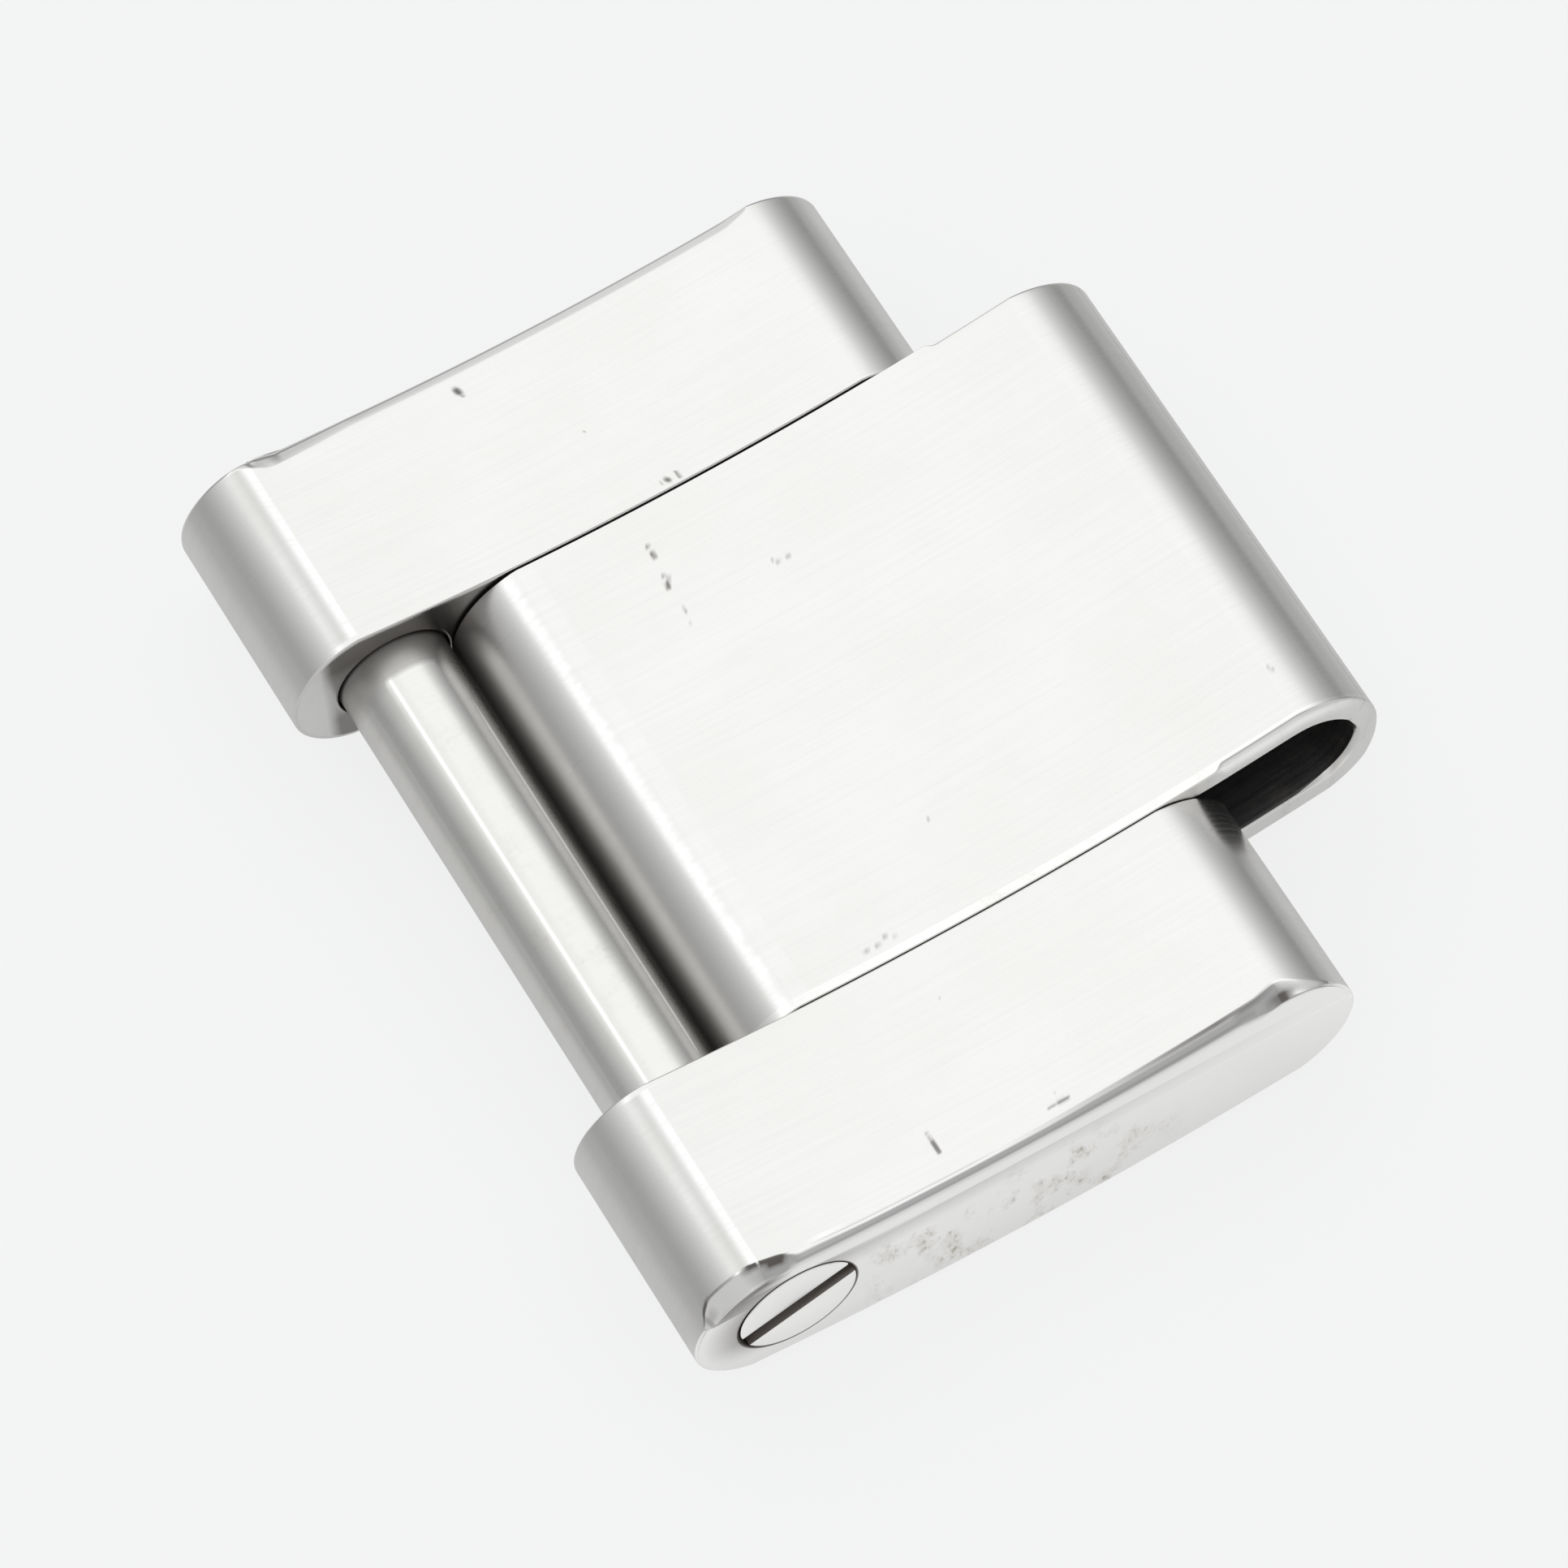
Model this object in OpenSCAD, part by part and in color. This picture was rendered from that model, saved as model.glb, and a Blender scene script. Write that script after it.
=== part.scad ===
// One link of a steel three-row watch bracelet, lying on its outer side with the wrist side up.
// Two solid outer links stand either side of a hollow centre link bent from one strip of sheet.
// A slotted screw in a loose sleeve takes the neighbouring link at the one end.
// The centre link hangs on a pressed pin with a loose tube, and stands out at the other end.
// X runs along the bracelet to the centre link's open end, Y across to the far outer link, Z up.

/* [Whole link] */
// overall width across the three rows
link_width = 16; // [14:0.25:20]
// radius of the wrist side of the outer links
wrist_radius = 35; // [30:1:60]
// how much an end's radius exceeds half the thickness, which leaves a faint line where the end starts
end_crease = 0.03; // [0.02:0.005:0.05]

/* [Outer links] */
// length of an outer link from end to end
outer_length = 11.3; // [10:0.1:13]
// width of one outer link
outer_width = 3.66; // [3.4:0.02:4.4]
// thickness of an outer link
outer_thickness = 2.7; // [2.7:0.05:3.3]
// polished bevel of the upper outer edge, in the middle
bevel_middle = 0.155; // [0.1:0.005:0.2]
// polished bevel of the upper outer edge, where the end starts to round off
bevel_end = 0.245; // [0.22:0.005:0.32]
// width of the bevel's tail round an end
bevel_tail = 0.2; // [0.16:0.005:0.22]
// how far the tail's circle is shifted towards the end
tail_shift = 0.26; // [0.24:0.01:0.3]
// how far it is shifted down
tail_drop = 0.06; // [0.04:0.01:0.08]

/* [Centre link] */
// length of the centre link from nose to open end
centre_length = 11.27; // [10:0.01:12.5]
// how much thicker it is than the outer links, all of it on the side away from the wrist
centre_step = 0.1; // [0.05:0.01:0.15]
// thickness of the sheet
sheet_thickness = 0.4; // [0.34:0.01:0.42]
// broken edge round both open sides
centre_edge = 0.08; // [0.05:0.01:0.12]
// play between the centre link and each outer link
side_play = 0.06; // [0.04:0.01:0.1]
// lengthwise play of the centre link on its hinge tube
length_play = 0.47; // [0.2:0.01:0.6]
// width of the butt seam where the strip's two ends meet
seam_width = 0.04; // [0.02:0.01:0.08]
// how far above the end's middle the seam lies, in degrees round the end
seam_turn = 22; // [5:1:45]

/* [Screw] */
// distance of the screw's axis from the outer links' ends
screw_inset = 1.74; // [1.6:0.02:2]
// diameter of the screw head
head_diameter = 1.96; // [1.7:0.02:2.1]
// height of the screw head
head_height = 0.85; // [0.6:0.05:1.2]
// play round the screw head in its counterbore
head_play = 0.04; // [0.02:0.01:0.08]
// width of the driver slot
slot_width = 0.34; // [0.25:0.01:0.45]
// depth of the driver slot
slot_depth = 0.42; // [0.3:0.01:0.5]
// direction of the slot from the link's length, in degrees
slot_turn = 18.6; // [0:0.1:90]
// diameter of the shank
shank_diameter = 1.2; // [1.1:0.02:1.26]
// diameter over the threaded end
thread_diameter = 1.16; // [1:0.02:1.18]
// play round the threaded end in its tapped hole
thread_play = 0.02; // [0.01:0.005:0.04]
// length of screw thread held in the far outer link
thread_length = 2.4; // [1.6:0.1:2.6]
// sloped tip of the screw and of the hinge pin
tip_slope = 0.2; // [0.1:0.01:0.25]

/* [Sleeve] */
// outside diameter of the sleeve and of the hinge tube
sleeve_diameter = 1.86; // [1.7:0.02:1.88]
// bore of the sleeve and of the hinge tube
sleeve_bore = 1.3; // [1.28:0.01:1.34]
// diameter of the round recess that takes each sleeve end
recess_diameter = 2.3; // [2:0.02:2.5]
// depth of that recess
recess_depth = 0.25; // [0.15:0.01:0.35]
// end play of the sleeve and of the hinge tube at each end
end_play = 0.04; // [0.02:0.01:0.08]
// gap between the sleeve and the centre link's nose as the link lies
nose_gap = 0.06; // [0.04:0.01:0.1]

/* [Hinge pin] */
// diameter of the hinge pin
pin_diameter = 1.2; // [1.1:0.02:1.24]
// length of pin pressed into each outer link
pin_seat = 2.4; // [1.6:0.1:2.6]

/* [Hidden] */
$fn = 96;
steel = [0.78, 0.78, 0.77];
dark_steel = [0.62, 0.62, 0.61];
// a cut always runs this much past the face it starts from
over = 0.3;

half_width = link_width / 2;
centre_width = link_width - 2 * outer_width - 2 * side_play;
centre_thickness = outer_thickness + centre_step;
end_radius = outer_thickness / 2 + end_crease;
centre_end_radius = centre_thickness / 2 + end_crease;
hollow_radius = centre_end_radius - sheet_thickness;
// where the holes lie along the link, from the outer links' plain end
nose_place = screw_inset + sleeve_diameter / 2 + nose_gap;
hinge_place = nose_place + centre_end_radius + length_play;
total_length = nose_place + centre_length;
start_x = -total_length / 2;
// all three rows are bent about one line, above the middle of the outer links
bend_x = start_x + outer_length / 2;
outer_face_radius = wrist_radius + outer_thickness;
centre_face_radius = wrist_radius + centre_thickness;
bend_z = centre_face_radius;
middle_radius = wrist_radius + centre_thickness / 2;
outer_middle_radius = wrist_radius + outer_thickness / 2;
screw_x = start_x + screw_inset;
screw_z = bend_z - sqrt(pow(middle_radius, 2) - pow(screw_x - bend_x, 2));
hinge_x = start_x + hinge_place;
hinge_z = bend_z - sqrt(pow(middle_radius, 2) - pow(hinge_x - bend_x, 2));
// directions, seen from the bend's middle, of the places where the ends start to round off
outer_turn = asin((outer_length / 2 - end_radius) / outer_middle_radius);
nose_turn = asin((start_x + nose_place + centre_end_radius - bend_x) / middle_radius);
open_turn = asin((start_x + total_length - centre_end_radius - bend_x) / middle_radius);
// the bevel follows a slightly flatter bend than the wrist side, so it widens towards the ends
bevel_reach = outer_length / 2 - end_radius;
bevel_bow = pow(bevel_reach, 2) / (2 * wrist_radius) - (bevel_end - bevel_middle);
bevel_radius = pow(bevel_reach, 2) / (2 * bevel_bow);
bevel_z = centre_thickness - bevel_middle + bevel_radius;
bevel_depth = 2 * bevel_end;
bevel_turn = asin((bevel_reach + 2 * end_radius) / bevel_radius);
sleeve_length = link_width - 2 * outer_width + 2 * recess_depth - 2 * end_play;
tube_length = link_width - 2 * outer_width - 2 * end_play;
counterbore = head_height + head_play;
far_face = half_width - outer_width;

// Turns a shape made about the Z axis so that its axis runs across the bracelet.
module across() {
    rotate([-90, 0, 0]) children();
}

// A bar bent about the line over the middle of the outer links, with both ends rounded off.
module bent_bar(wrist, outer, from_turn, to_turn, width) {
    round_r = (outer - wrist) / 2 + end_crease;
    mid_r = (outer + wrist) / 2;
    spare = asin((round_r + over) / mid_r);
    difference() {
        translate([bend_x, 0, bend_z])
        across()
        rotate([0, 0, 90 - to_turn - spare])
        rotate_extrude(angle = to_turn - from_turn + 2 * spare, $fn = 720)
        translate([wrist, -width / 2])
        square([outer - wrist, width]);
        round_off(mid_r, round_r, from_turn, -1, width);
        round_off(mid_r, round_r, to_turn, 1, width);
    }
}

// What is filed away to round one end of such a bar: side is 1 for the end in +X.
module round_off(mid_r, round_r, turn, side, width) {
    translate([bend_x + mid_r * sin(turn), 0, bend_z - mid_r * cos(turn)])
    rotate([0, -turn, 0])
    difference() {
        translate([side > 0 ? 0 : -2 * round_r, -width / 2 - over, -2 * round_r])
        cube([2 * round_r, width + 2 * over, 4 * round_r]);
        translate([0, -width / 2 - 2 * over, 0])
        across()
        cylinder(r = round_r, h = width + 4 * over);
    }
}

// What the polishing wheel takes off the upper outer edge between the rounded ends.
module edge_bevel() {
    translate([bend_x, 0, bevel_z])
    across()
    rotate([0, 0, 90 - bevel_turn])
    rotate_extrude(angle = 2 * bevel_turn, $fn = 720)
    polygon([
        [bevel_radius + over, -over],
        [bevel_radius - bevel_depth, bevel_depth],
        [bevel_radius - 2 * bevel_depth, bevel_depth],
        [bevel_radius - 2 * bevel_depth, -over]
    ]);
}

// What it takes off a rounded end: a tail that runs out just above the middle of the end.
module end_bevel(side) {
    turn = side * outer_turn;
    tail_radius = end_radius - bevel_tail;
    translate([bend_x + outer_middle_radius * sin(turn), 0, bend_z - outer_middle_radius * cos(turn)])
    rotate([0, -turn, 0])
    translate([side * tail_shift, 0, 0])
    difference() {
        translate([side > 0 ? 0 : -2 * end_radius, -over, 0])
        cube([2 * end_radius, bevel_depth + over, 2 * end_radius]);
        translate([0, -2 * over, -tail_drop])
        across()
        cylinder(
            r1 = tail_radius - 2 * over,
            r2 = tail_radius + bevel_depth + over,
            h = bevel_depth + 3 * over
        );
    }
}

// A solid outer link with its polished side at y = 0 and its inner face at y = outer_width.
module outer_blank() {
    difference() {
        translate([0, outer_width / 2, 0])
        bent_bar(wrist_radius, outer_face_radius, -outer_turn, outer_turn, outer_width);
        edge_bevel();
        end_bevel(-1);
        end_bevel(1);
    }
}

// The recess for the sleeve's end and the blind hole for the hinge pin, in an inner face.
module inner_holes() {
    translate([screw_x, outer_width - recess_depth, screw_z])
    across()
    cylinder(d = recess_diameter, h = recess_depth + over);
    translate([hinge_x, outer_width - pin_seat, hinge_z])
    across()
    cylinder(d = pin_diameter, h = pin_seat + over);
}

// The near outer link: counterbore for the screw head and a plain hole for its shank.
module head_link() {
    color(steel)
    translate([0, -half_width, 0])
    difference() {
        outer_blank();
        inner_holes();
        translate([screw_x, -over, screw_z])
        across()
        cylinder(d = head_diameter + 2 * head_play, h = counterbore + over);
        translate([screw_x, 0, screw_z])
        across()
        cylinder(d = sleeve_bore, h = outer_width);
    }
}

// The far outer link, the mirror image, with a blind tapped hole for the screw's end.
module thread_link() {
    color(steel)
    translate([0, half_width, 0])
    mirror([0, 1, 0])
    difference() {
        outer_blank();
        inner_holes();
        translate([screw_x, outer_width - recess_depth - thread_length - tip_slope, screw_z])
        across()
        cylinder(d = thread_diameter + 2 * thread_play, h = thread_length + tip_slope + recess_depth);
    }
}

// Moves a shape made about the Z axis to the bend at one end of the centre link.
module at_end(turn) {
    translate([bend_x + middle_radius * sin(turn), 0, bend_z - middle_radius * cos(turn)])
    rotate([0, -turn, 0])
    across()
    children();
}

// What deburring takes off one long edge of the centre link: side is 1 for the outer side.
module long_edge(face, side) {
    reach = 2 * centre_edge;
    spare = asin((centre_end_radius + over) / middle_radius);
    translate([bend_x, 0, bend_z])
    across()
    rotate([0, 0, 90 - open_turn - spare])
    rotate_extrude(angle = open_turn - nose_turn + 2 * spare, $fn = 720)
    polygon([
        [face + side * reach, -over],
        [face - side * (centre_edge + over), -over],
        [face + side * reach, centre_edge + reach]
    ]);
}

// What it takes off the same edge round one end: side is 1 for the open end.
module round_edge(turn, side) {
    reach = 2 * centre_edge;
    at_end(turn)
    rotate([0, 0, -90 * side])
    rotate_extrude(angle = 180)
    polygon([
        [centre_end_radius + reach, -over],
        [centre_end_radius - centre_edge - over, -over],
        [centre_end_radius + reach, centre_edge + reach]
    ]);
}

// The broken edge all round the centre link's open side at y = 0.
module broken_edge() {
    long_edge(wrist_radius, -1);
    long_edge(centre_face_radius, 1);
    round_edge(nose_turn, -1);
    round_edge(open_turn, 1);
}

// The centre link's outline, filled in, with the edges of both open sides broken.
module centre_outline() {
    difference() {
        bent_bar(wrist_radius, centre_face_radius, nose_turn, open_turn, centre_width);
        translate([0, -centre_width / 2, 0])
        broken_edge();
        mirror([0, 1, 0])
        translate([0, -centre_width / 2, 0])
        broken_edge();
    }
}

// The hollow centre link: one strip of sheet bent into a flat tube round the hinge tube and the
// neighbour's sleeve, the same thickness all the way round, its two ends butted in the open end.
module centre_link() {
    color(steel)
    difference() {
        centre_outline();
        bent_bar(
            wrist_radius + sheet_thickness,
            centre_face_radius - sheet_thickness,
            nose_turn,
            open_turn,
            centre_width + 2 * over
        );
        translate([bend_x + middle_radius * sin(open_turn), 0, bend_z - middle_radius * cos(open_turn)])
        rotate([0, -open_turn - seam_turn, 0])
        translate([hollow_radius / 2, -half_width, -seam_width / 2])
        cube([centre_thickness, link_width, seam_width]);
    }
}

// The screw: slotted head flush with the polished side, shank, threaded end with a sloped tip.
module link_screw() {
    shank_end = far_face - end_play;
    thread_end = far_face + recess_depth + thread_length;
    color(dark_steel)
    translate([screw_x, 0, screw_z])
    difference() {
        across()
        rotate_extrude()
        polygon([
            [0, -half_width],
            [head_diameter / 2, -half_width],
            [head_diameter / 2, -half_width + head_height],
            [shank_diameter / 2, -half_width + head_height],
            [shank_diameter / 2, shank_end],
            [thread_diameter / 2, shank_end],
            [thread_diameter / 2, thread_end - tip_slope],
            [thread_diameter / 2 - tip_slope, thread_end],
            [0, thread_end]
        ]);
        translate([0, -half_width, 0])
        rotate([0, -slot_turn, 0])
        translate([-head_diameter, -over, -slot_width / 2])
        cube([2 * head_diameter, slot_depth + over, slot_width]);
    }
}

// A plain tube across the link.
module cross_tube(place_x, place_z, length) {
    color(steel)
    translate([place_x, -length / 2, place_z])
    across()
    difference() {
        cylinder(d = sleeve_diameter, h = length);
        translate([0, 0, -over])
        cylinder(d = sleeve_bore, h = length + 2 * over);
    }
}

// The loose sleeve round the screw, which the neighbouring link turns on.
module screw_sleeve() {
    cross_tube(screw_x, screw_z, sleeve_length);
}

// The loose tube round the hinge pin, which the centre link hangs on.
module hinge_tube() {
    cross_tube(hinge_x, hinge_z, tube_length);
}

// The hinge pin, pressed into both outer links, with sloped tips.
module hinge_pin() {
    reach = far_face + pin_seat;
    color(dark_steel)
    translate([hinge_x, 0, hinge_z])
    across()
    rotate_extrude()
    polygon([
        [0, -reach],
        [pin_diameter / 2 - tip_slope, -reach],
        [pin_diameter / 2, -reach + tip_slope],
        [pin_diameter / 2, reach - tip_slope],
        [pin_diameter / 2 - tip_slope, reach],
        [0, reach]
    ]);
}

head_link();
thread_link();
centre_link();
link_screw();
screw_sleeve();
hinge_pin();
hinge_tube();
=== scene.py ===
import math

import bmesh
import bpy
import numpy as np
from mathutils import Matrix, Vector
from mathutils.geometry import tessellate_polygon


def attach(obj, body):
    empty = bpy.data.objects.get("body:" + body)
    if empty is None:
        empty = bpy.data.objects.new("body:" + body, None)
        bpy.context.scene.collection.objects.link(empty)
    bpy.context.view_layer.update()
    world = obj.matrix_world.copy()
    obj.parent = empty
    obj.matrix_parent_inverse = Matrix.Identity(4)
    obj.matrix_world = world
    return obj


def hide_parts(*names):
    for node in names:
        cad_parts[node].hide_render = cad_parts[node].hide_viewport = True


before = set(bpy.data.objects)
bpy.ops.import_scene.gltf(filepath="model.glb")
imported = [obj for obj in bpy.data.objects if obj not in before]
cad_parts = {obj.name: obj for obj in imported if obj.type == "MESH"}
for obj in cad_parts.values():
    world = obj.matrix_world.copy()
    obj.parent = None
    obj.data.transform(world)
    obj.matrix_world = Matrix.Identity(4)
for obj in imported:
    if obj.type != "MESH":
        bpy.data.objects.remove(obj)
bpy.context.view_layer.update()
MM = 0.001


# Head link: the outer link that holds the screw head in a counterbore. It is
# milled from solid stainless steel, slightly bent, with its wrist side brushed
# along the length and its side face and the bevel round it polished.

# sizes are in mm; the whole link is bent round an axis along y, and the middle of an end is given by its
# turn round that axis, in degrees
bend_x, bend_z = -1.35, 37.8
wrist_radius, outer_radius = 35.0, 37.7
outer_turn, outer_end_radius = 6.7465, 1.38
side_face, inner_face = 8.0, 4.34
inner_edge_round = 0.03
outer_step = 0.035
screw_x, screw_z = -5.26, 1.610611
hinge_x, hinge_z = -2.37, 1.414294
# the four stretches of an outline in side view, and the four finishes of an outer link
WRIST_SIDE, RIGHT_END, UNDERSIDE, LEFT_END = range(4)
BRUSHED, POLISHED, BORED, MILLED = range(4)


def on_bend(radius, turn):
    """The point at this distance from the bend's axis and this turn round it, in radians, as x and z."""
    return np.array((bend_x + radius * math.sin(turn), bend_z - radius * math.cos(turn)))


def bent_outline(near, far, left_turn, right_turn, end_radius, step):
    """Side view of a bent bar with round ends, as points and outward directions in x and z. With them come
    the stretch of the outline that each point is on and, on a round end, its angle from upright."""
    middle = (near + far) / 2
    points, normals, places, angles = [], [], [], []

    def add(point, normal, place, angle):
        points.append(point)
        normals.append(normal)
        places.append(place)
        angles.append(angle)

    def reach(radius):
        """How far past an end's own turn an arc runs before it meets the round end, in degrees."""
        return math.degrees(math.acos((radius ** 2 + middle ** 2 - end_radius ** 2) / (2 * radius * middle)))

    def arc(radius, start, stop, inward, place):
        count = max(2, int(abs(math.radians(stop - start)) * radius / step))
        for a in np.radians(np.linspace(start, stop, count + 1)[1:-1]):
            add(on_bend(radius, a), (-inward * math.sin(a), inward * math.cos(a)), place, 0.0)

    def end(turn, side, place):
        t = math.radians(turn)
        up = np.array((-math.sin(t), math.cos(t)))
        out = np.array((math.cos(t), math.sin(t))) * side
        centre = on_bend(middle, t)
        limits = []
        for radius in (near, far):
            spot = on_bend(radius, math.radians(turn + side * reach(radius))) - centre
            limits.append(math.degrees(math.atan2(spot @ out, spot @ up)))
        # the ends curve more tightly than the sides, so their points lie closer together
        count = max(8, int(math.radians(limits[1] - limits[0]) * end_radius / step * 1.3))
        sweep = np.linspace(limits[0], limits[1], count + 1)
        for angle in (sweep if side > 0 else sweep[::-1]):
            a = math.radians(angle)
            direction = up * math.cos(a) + out * math.sin(a)
            add(centre + end_radius * direction, direction, place, angle)

    arc(near, left_turn - reach(near), right_turn + reach(near), 1, WRIST_SIDE)
    end(right_turn, 1, RIGHT_END)
    arc(far, right_turn + reach(far), left_turn - reach(far), -1, UNDERSIDE)
    end(left_turn, -1, LEFT_END)
    return np.array(points), np.array(normals), np.array(places), np.array(angles)


class Skin:
    """Collects the points and faces of one piece, with a finish for each face and a wear-and-light value for
    each point, and makes them into an object. Above nought the value darkens with real marks and with painted
    shade, and below nought it is a painted highlight."""

    def __init__(self):
        self.points, self.faces, self.finishes, self.wear_and_light = [], [], [], []

    def row(self, points, wear_and_light=0.0):
        first = len(self.points)
        self.points += [tuple(p) for p in points]
        self.wear_and_light += list(wear_and_light) if hasattr(wear_and_light, "__len__") else [wear_and_light] * len(points)
        return list(range(first, first + len(points)))

    def band(self, a, b, finish=0, closed=True):
        """The strip of faces between two rows with the same number of points."""
        count = len(a)
        for i in range(count if closed else count - 1):
            j = (i + 1) % count
            self.faces.append((a[i], a[j], b[j], b[i]))
            self.finishes.append(finish)

    def plate(self, edge, holes=(), finish=0):
        """A flat face square to y, with holes left in it."""
        loops = (edge, *holes)
        flat = [[Vector((self.points[i][0], self.points[i][2], 0)) for i in loop] for loop in loops]
        order = [i for loop in loops for i in loop]
        for face in tessellate_polygon(flat):
            self.faces.append(tuple(order[i] for i in face))
            self.finishes.append(finish)

    def piece(self, name, finishes, body, *nodes):
        """Makes the object, which takes the place of its CAD nodes and rides on a body."""
        mesh = bpy.data.meshes.new(name)
        mesh.from_pydata([(x * MM, y * MM, z * MM) for x, y, z in self.points], [], self.faces)
        for finish in finishes:
            mesh.materials.append(finish)
        mesh.polygons.foreach_set("material_index", self.finishes)
        mesh.attributes.new("wear_and_light", "FLOAT", "POINT").data.foreach_set("value", self.wear_and_light)
        shell = bmesh.new()
        shell.from_mesh(mesh)
        bmesh.ops.remove_doubles(shell, verts=shell.verts, dist=1e-8)
        bmesh.ops.recalc_face_normals(shell, faces=shell.faces)
        shell.to_mesh(mesh)
        shell.free()
        mesh.polygons.foreach_set("use_smooth", [True] * len(mesh.polygons))
        mesh.set_sharp_from_angle(angle=math.radians(50))
        made = bpy.data.objects.new(name, mesh)
        bpy.context.scene.collection.objects.link(made)
        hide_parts(*nodes)
        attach(made, body)
        return made


def circle(x, z, radius, y, count=96):
    """A ring of points round an axis along y, which starts at the top and goes towards +x."""
    turns = np.linspace(0, 2 * math.pi, count, endpoint=False)
    return [(x + radius * math.sin(a), y, z + radius * math.cos(a)) for a in turns]


def bevel(points, places, angles, facets):
    """How far the polished bevel cuts down into the side face, how far it reaches back from it, and how round
    its lower corner is, at each point of the outline. It is even along the wrist side and gone at the tips.
    Facets are the wide, crisp ones on the head link's shoulders."""
    wrist, right, left = [places == place for place in (WRIST_SIDE, RIGHT_END, LEFT_END)]
    x = points[wrist, 0]
    down, back, soft = np.full(len(points), 0.05), np.full(len(points), 0.05), np.ones(len(points))
    if facets:
        down[wrist] = np.interp(
            x, (-5.75, -5.5, -5.1, -1, 2.3, 2.8, 3.06), (0.15, 0.14, 0.26, 0.27, 0.27, 0.17, 0.14))
        back[wrist] = np.interp(
            x, (-5.75, -5.41, -5.2, -4.8, -4, -1, 0, 2, 2.7, 3.06),
            (0.28, 0.24, 0.18, 0.18, 0.16, 0.16, 0.185, 0.22, 0.24, 0.33))
        soft[wrist] = np.interp(x, (-5.5, -5.2, 2.3, 2.8), (0, 1, 1, 0))
        down[left] = np.interp(angles[left], (12, 30, 60, 64), (0.15, 0.168, 0.168, 0.04))
        back[left] = np.interp(
            angles[left], (12, 18, 50, 59, 63, 68), (0.285, 0.308, 0.308, 0.19, 0.05, 0.04))
        soft[left] = angles[left] > 66
        down[right] = np.interp(angles[right], (12, 30, 45), (0.13, 0.07, 0.04))
        back[right] = np.interp(
            angles[right], (12, 17, 28, 39, 53, 66), (0.33, 0.32, 0.204, 0.118, 0.071, 0.041))
        soft[right] = angles[right] > 45
    else:
        down[wrist] = np.interp(x, (-5.75, -5.4, -5.0, -4.6, 2.6, 3.06), (0.04, 0.08, 0.18, 0.27, 0.27, 0.1))
        back[wrist] = np.interp(x, (-5.75, -5.45, -4.9, -4, 2.6, 3.06), (0.16, 0.32, 0.27, 0.2, 0.19, 0.1))
        for size in (down, back):
            size[left] = np.interp(angles[left], (12, 20), (0.15, 0.06))
            size[right] = 0.06
    for _ in range(3):
        down, back, soft = [(np.roll(k, 1) + 2 * k + np.roll(k, -1)) / 4 for k in (down, back, soft)]
    return down, back, soft


# the bevel's lower corner in steps: the share of the way up it and, where it is broadly round, how far each
# step lies below the facet's foot and how far from the side face
lower_corner = (
    (0, 1.0, 0), (0.15, 0.12, 0.002), (0.3, 0.075, 0.006), (0.45, 0.045, 0.012),
    (0.6, 0.02, 0.02), (0.8, 0.008, 0.025), (1.0, 0, 0.03),
)
brushed_rows = 84


def rows_across(down, back, soft):
    """The skin across an outer link, as rows from the side face over the bevel and the wrist side to the
    inner face: how far each row lies below the outline and how far from the side face, at each point of the
    outline. With them comes the number of the first row past the bevel."""
    none = down * 0
    foot = 0.85 * down
    round_foot = np.minimum(0.38 * (back - 0.03), foot)
    rows = [(down + 0.08, none)]
    for share, below, out in lower_corner:
        crisp = down * ((1 - share) ** 2 + 2 * share * (1 - share) * 0.93) + foot * share ** 2
        rounded = np.minimum(round_foot + below, down * (1 - 0.05 * share))
        away = out * soft + 0.15 * share ** 2 * back * (1 - soft)
        rows.append((rounded * soft + crisp * (1 - soft), away))
    foot_down, foot_back = rows[-1]
    for share in (0.3, 0.6, 0.9):
        rows.append((foot_down * (1 - share), foot_back * (1 - share) + back * share))
    rows += [(down * 0.015, back), (none, back * 1.03 + 0.006)]
    first = len(rows)
    width = side_face - inner_face
    for share in np.linspace(0, 1, brushed_rows):
        flat_end = width - inner_edge_round - 0.02
        rows.append((none, (back * 1.03 + 0.03) * (1 - share) + flat_end * share))
    for a in np.radians((0, 30, 60, 90)):
        low, short = inner_edge_round * (1 - math.cos(a)), inner_edge_round * (1 - math.sin(a))
        rows.append((none + low, none + width - short))
    rows.append((none + inner_edge_round + 0.04, none + width))
    return rows, first


def near_line(spots, ends):
    """How far each spot is from the short line between two points."""
    a, b = np.array(ends[:3]), np.array(ends[3:])
    along = np.clip(((spots - a) @ (b - a)) / max((b - a) @ (b - a), 1e-9), 0, 1)
    return np.linalg.norm(spots - a - along[:, None] * (b - a), axis=1)


def press_in(dents, spots, normals):
    """Presses each dent into a row of spots in turn, and gives how dark it makes each spot."""
    for *ends, size, deep, dark in dents:
        near = np.exp(-(near_line(spots, ends) / size) ** 3)
        spots[:, 0] -= normals[:, 0] * near * deep
        spots[:, 2] -= normals[:, 1] * near * deep
        yield near * dark


# the counterbore from the side face in: how far each ring stands to the left and up, its radius, its depth
# and its share of the painted shade; the head sits a hair low and right in it, so the gap round it is widest
# at the upper left, where the painted shade lies
counterbore_rings = (
    (0.014, 0.02, 1.05, 0, 0.6), (0.014, 0.02, 1.028, 0.002, 1), (0.012, 0.016, 1.003, 0.012, 1),
    (0, 0, 1.02, 0.89, 0), (0, 0, 0.65, 0.89, 0),
)
ring_turns = np.linspace(0, 2 * math.pi, 96, endpoint=False)


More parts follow.
